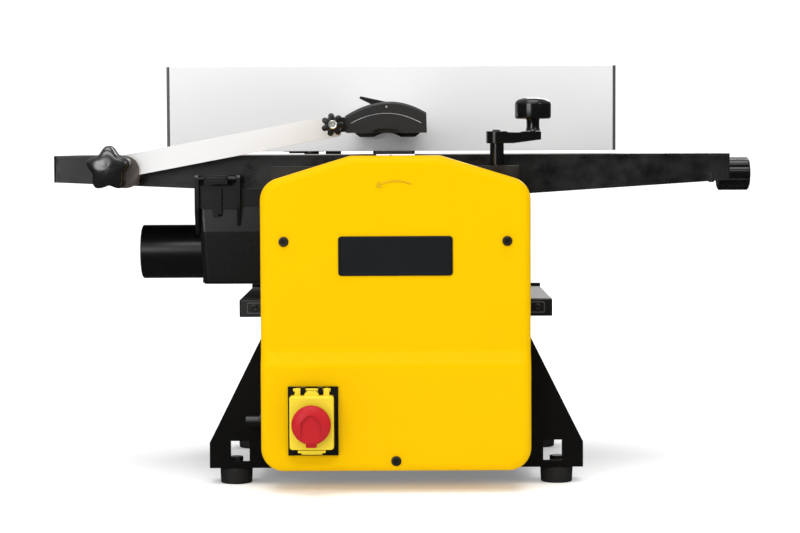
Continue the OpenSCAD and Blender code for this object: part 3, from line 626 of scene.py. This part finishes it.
lever = prism(rounded([(-9.5, 404.4, 0), (-3, 408, 3), (-6, 411.6, 2), (-37.2, 418.4, 1.4), (-39, 416.2, 1.2),
                       (-25, 409.4, 3), (-20, 404.4, 0)]), -131, -113)
lever = merged(lever, disc(-9.5, -131, 408, 3.8, 18))
add("cam_lever_grip", lever, "grip_plastic", "cam", "guard_cam_lever", width=0.7, slot="knob_plastic", segments=3)
add("cam_pin", disc(-9.2, -145.4, 406.6, 1.3, 8, 20), "zinc", "holder", width=0.2)

tilt = turned([(0, 0), (7, 0), (7, 17.4), (8 + 0.9, 17.6), (8 + 0.97, 18.3), (8 + 1, 19.4), (8 + 1, 25.4),
               (8 + 0.96, 26.6), (8 + 0.88, 27.4), (8 + 0.7, 27.7), (5.4, 27.8), (4.9, 27.2), (0, 27.2)],
              (-66.5, -132.5, 387.5), "front", 140,
              lambda r, h, t: (lobed(7, 12.5, 3.1, 8.9, 100, t) * (r - 8) if r > 8 else r, h))
add("tilt_grip", merged(tilt, disc(-66.5, -150, 387.5, 2.6, 60)), "grip_plastic", "tilt_knob", "guard_tilt_knob",
    width=0, slot="knob_plastic", angle=50)
insert = turned([(0, 0), (4.7, 0), (4.7, 0.9), (3.9, 1.3), (3, 1.1), (2.5, 0.4), (0, 0.4)],
                (-66.5, -159.7, 387.5), "front", 36,
                lambda r, h, t: (r * (1 + 0.1 * cos(6 * t)) if r < 3.5 else r, h))
add("tilt_insert", insert, "zinc", "tilt_knob", width=0)

add("guard_sheet", arc_band(400, 0.6, 38, 10.5, -144.5, 84), "fence_aluminium", "bridge", "guard_profile", width=0)
cap = [(-9.5 + i * 38.5 / 16, 402 - 10.5 * (i / 16) ** 2) for i in range(-16, 17)]
hollow = [(-9.5 + i * 15.5 / 10, 379.8 - 4.6 * (i / 10) ** 2) for i in range(-10, 11)]
cap = prism([*cap, (29, 379.4), (23, 375), (6, 375), *hollow[::-1], (-25, 375), (-42, 375), (-48, 379.4)], 84, 89)
add("rear_guard_plate", prism(block(-24.5, 20.5, 355.6, 360.8, 0.5), 125.3, 126.1), "guard_grey", "carriage",
    width=0.2, slot="black_casting")
add("guard_end", cap, "black_plastic", "bridge", "guard_end_cap", width=0.8)

rise = Vector((246, 47.1))
slope = atan2(rise.y, rise.x)
reach = rise.length
arm = prism(rounded([(0, -12, 0), (reach, -13, 4), (reach, 10, 4), (0, 12, 0)] + [(12 * cos(t), 12 * sin(t), 0)
            for t in [radians(100 + 20 * k) for k in range(9)]]), -132, -127)
block_end = prism(block(reach - 30, reach - 8, -8, 8, 2), -132, -115)
arm = join(arm, block_end)
arm.transform(Matrix.Translation((-306, 0, 341.5)) @ Matrix.Rotation(-slope, 4, "Y"))
arm = cut(arm, disc(-306, -150, 341.5, 4.05, 60), disc(-66.5, -150, 387.5, 3, 60))
washer = merged(turned([(0, 0), (15, 0), (15.6, 0.8), (15.6, 6), (0, 6)], (-292, -132.2, 339.5), "front", 60),
                prism(block(-293.5, -286.5, 323, 338), -136, -132.5))
washer = cut(washer, disc(-306, -150, 341.5, 11.9, 30))
add("arm_washer", washer, "bronze_grey", "arm", width=0.3, slot="black_casting")
add("guard_arm_bar", arm, "arm_aluminium", "arm", "guard_arm", width=0.6)

# Pivot of the guard arm: clamp disc and bracket on the table's side
boss = merged(turned([(0, 0), (16.6, 0), (17.2, 1), (17.2, 12), (16, 13.2), (0, 13.2)],
                     (-294.5, -106, 337), "front", 60),
              prism(rounded([(-318, 323, 3), (-280, 323, 3), (-280, 349, 5), (-318, 353, 5)]), -111, -105),
              turned([(0, 0), (11, 0), (11, 21.1), (10.4, 21.4), (0, 21.4)], (-306, -105.3, 341.5), "front", 48),
              disc(-306, -162, 341.5, 4, 40))
add("arm_pivot", boss, "bronze_grey", "frame", "guard_arm_boss", width=0.5, slot="black_casting")

# Dust hood ----------------------------------------------------------------------------------------


def hood_section(left, right, half, r, d=0):
    return block(left + d, right, -half + d, half - d, r)


def hood_box(d):
    """The hood's box, drawn in by d."""
    right = -140 - d
    return loft([(hood_section(-209.8, right, 110.5, 7, d), 214.5 + d),
                 (hood_section(-210.8, right, 112, 7, d), 218 + d),
                 (hood_section(-214, right, 113.2, 7, d), 271), (hood_section(-214.4, right, 113.8, 7, d), 272.5),
                 (hood_section(-217, right, 111, 7, d), 302.5 - d)])


def scoop(d):
    """The part that reaches under the cutter, drawn in by d."""
    return prism([(-212 + d, 215 + d), (34 - d, 215 + d), (34 - d, 262), (22 - d, 298 - d), (-126, 298 - d),
                  (-130, 302 - d), (-212 + d, 302 - d)], -100 + d, 100 - d)


spigot = turned([(0, 0), (28.4, 0), (29.6, 0.5), (30.5, 1.8), (30.5, 82), (0, 82)], (-289.5, 0, 245), "right", 96)
hood = join(hood_box(0), scoop(0), spigot)
hood = cut(hood, hood_box(3), scoop(3), prism(block(-26, 40, -97, 97), 290, 320, "z"),
           turned([(0, 0), (28, 0), (28, 90), (0, 90)], (-293, 0, 245), "right", 96))
# Lid, frame and ribs on the hood's front, at y = FRONT
FRONT = -112
ribs = [prism(block(-215, -169.2, 297.5, 321), FRONT - 1.2, FRONT + 4),
        prism(block(-172, -143, 299, 318, 1), FRONT, FRONT + 6),
        prism(block(-213.4, -169.2, 297.2, 299.4, 0.6), FRONT - 2.6, FRONT + 4),
        prism(block(-213.4, -169.2, 319.4, 321.6, 0.6), FRONT - 2.2, FRONT + 4)]
for x, low, wide in ((-218.6, 283, 4.4), (-172.6, 284, 3.6)):
    ribs.append(prism([(FRONT + 4, low - 14), (FRONT + 2, low - 14), (FRONT - 7, low + 8), (FRONT - 8, low + 16),
                       (FRONT - 8, 331), (FRONT - 5, 333.5), (FRONT + 4, 333.5)], x, x + wide, "x"))
ribs += [prism([(FRONT + 2, 287), (FRONT - 5, 291), (FRONT - 5, 319), (FRONT + 2, 319)], -193, -189.6, "x"),
         prism(block(-199.5, -193.6, 288, 297.6, 0.6), FRONT - 3, FRONT + 3),
         prism(block(-213, -170, 331, 334, 0.6), FRONT - 2.6, FRONT + 4)]
pin = turned([(0, 0), (1.45, 0), (1.45, 46), (0, 46)], (-217, -118.5, 329.5), "right", 20)
add("dust_hood_shell", merged(hood, *ribs, pin), "black_plastic", "hood", "dust_hood", width=0.6)

clip = merged(prism(block(-207.9, -182.1, 323.5, 333.4, 1), -124, -120.3),
              prism(block(-205.8, -184.2, 325.6, 331.4, 0.6), -125, -123),
              cut(turned([(0, 0), (2.9, 0), (2.9, 35.6), (0, 35.6)], (-209, -118.5, 329.5), "right", 24),
                  turned([(0, 0), (1.65, 0), (1.65, 60), (0, 60)], (-220, -118.5, 329.5), "right", 24)))
add("hood_clip", clip, "black_plastic", "latch", "hood_latch", width=0.5)

# Lifting screws -----------------------------------------------------------------------------------


def threaded(x, y, top):
    """Screw with a plain foot, a sprocket and a trapezoid thread of 4 mm pitch."""
    steps, rows, pitch = 20, 6, 4.0
    rings = [[(x, y, 20.8)]]
    heights = [20.8, 46, *[46.2 + k * pitch / rows for k in range(int((top - 48) * rows / pitch))], top - 1, top]
    for h in heights:
        ring = []
        for k in range(steps):
            t = 2 * pi * k / steps
            phase = (h / pitch - t / (2 * pi)) % 1
            depth = 0.9 * max(0, min(1, 3 * abs(phase - 0.5) - 0.25)) if 46.1 < h < top - 2 else 0
            ring.append((x + (5.95 - depth) * cos(t), y + (5.95 - depth) * sin(t), h))
        rings.append(ring)
    rings.append([(x, y, top)])
    teeth = turned([(5, 31), (15, 31), (15, 36), (5, 36)], (x, y, 0), "up", 96,
                   lambda r, h, t: (r - (1.7 * max(0, cos(12 * t)) if r > 10 else 0), h))
    return merged(tidy(skin(bmesh.new(), rings)), teeth)


for name, x, y, top in (("front_right", 110, -130, 344), ("front_left", -110, -130, 336),
                        ("rear_right", 110, 130, 336), ("rear_left", -110, 130, 336)):
    add("lift_thread_" + name, threaded(x, y, top), "zinc", "screw_" + name, "lift_screw_" + name,
        width=0, angle=50)
shaft = turned([(0, 343.2), (7.6, 343.2), (7.6, 367.4), (0, 367.4)], (110, -130, 0), "up", 40)
add("crank_shaft", shaft, "knob_plastic", "screw_front_right", width=0.3)

# Studio -------------------------------------------------------------------------------------------

floor = bmesh.new()
bmesh.ops.create_circle(floor, cap_ends=True, segments=96, radius=60)
mesh = bpy.data.meshes.new("floor")
floor.to_mesh(mesh)
floor.free()
floor = bpy.data.objects.new("floor", mesh)
bpy.context.scene.collection.objects.link(floor)
g = Graph("floor")
g.shader.inputs["Roughness"].default_value = 1
g.shader.inputs["Specular IOR Level"].default_value = 0
g.link(g.blend(g.noise(3, 2), (0.86, 0.86, 0.86), (0.88, 0.88, 0.88)), g.shader.inputs["Base Color"])
g.shader.inputs["Emission Color"].default_value = (1, 1, 1, 1)
g.shader.inputs["Emission Strength"].default_value = 0.22
mesh.materials.append(g.material)
floor.visible_glossy = False


def light(name, kind, energy, place, aim, **settings):
    data = bpy.data.lights.new(name, kind)
    data.energy = energy
    for key, value in settings.items():
        setattr(data, key, value)
    obj = bpy.data.objects.new(name, data)
    bpy.context.scene.collection.objects.link(obj)
    obj.location = place
    obj.rotation_euler = (Vector(aim) - Vector(place)).to_track_quat("-Z", "Y").to_euler()
    return obj


light("top", "SUN", 1.9, (0, 0, 3), (0.1, 0.6, 0), angle=radians(50))
light("left", "AREA", 19, (-1.25, -2.5, 0.78), (-0.1, 0, 0.3), shape="RECTANGLE", size=1.2, size_y=0.85)
light("high", "AREA", 15, (-0.3, -2.1, 1.75), (0, 0, 0.25), shape="RECTANGLE", size=2.2, size_y=0.4)
light("rear", "AREA", 22, (0.9, 2.4, 1.5), (0, 0, 0.25), shape="RECTANGLE", size=1.6, size_y=0.8)
light("right", "AREA", 6, (1.9, -2.0, 1.3), (0, 0, 0.2), shape="RECTANGLE", size=0.7, size_y=0.7)

# A dome that is bright above and dark round the horizon; the camera sees plain white behind the machine
world = bpy.data.worlds.new("studio")
bpy.context.scene.world = world
world.use_nodes = True
tree = world.node_tree
dome = tree.nodes["Background"]
bright = tree.nodes.new("ShaderNodeBackground")
bright.inputs["Color"].default_value = (1, 1, 1, 1)
bright.inputs["Strength"].default_value = 1.2
facing = tree.nodes.new("ShaderNodeSeparateXYZ")
rise = tree.nodes.new("ShaderNodeMapRange")
for socket, value in (("From Min", 0.05), ("From Max", 0.6), ("To Min", 0.05), ("To Max", 0.6)):
    rise.inputs[socket].default_value = value
tree.links.new(tree.nodes.new("ShaderNodeTexCoord").outputs["Generated"], facing.inputs["Vector"])
tree.links.new(facing.outputs["Z"], rise.inputs["Value"])
tree.links.new(rise.outputs["Result"], dome.inputs["Strength"])
seen = tree.nodes.new("ShaderNodeLightPath")
mix = tree.nodes.new("ShaderNodeMixShader")
dome.inputs["Color"].default_value = (1, 1, 1, 1)
tree.links.new(seen.outputs["Is Camera Ray"], mix.inputs["Fac"])
tree.links.new(dome.outputs["Background"], mix.inputs[1])
tree.links.new(bright.outputs["Background"], mix.inputs[2])
tree.links.new(mix.outputs["Shader"], tree.nodes["World Output"].inputs["Surface"])
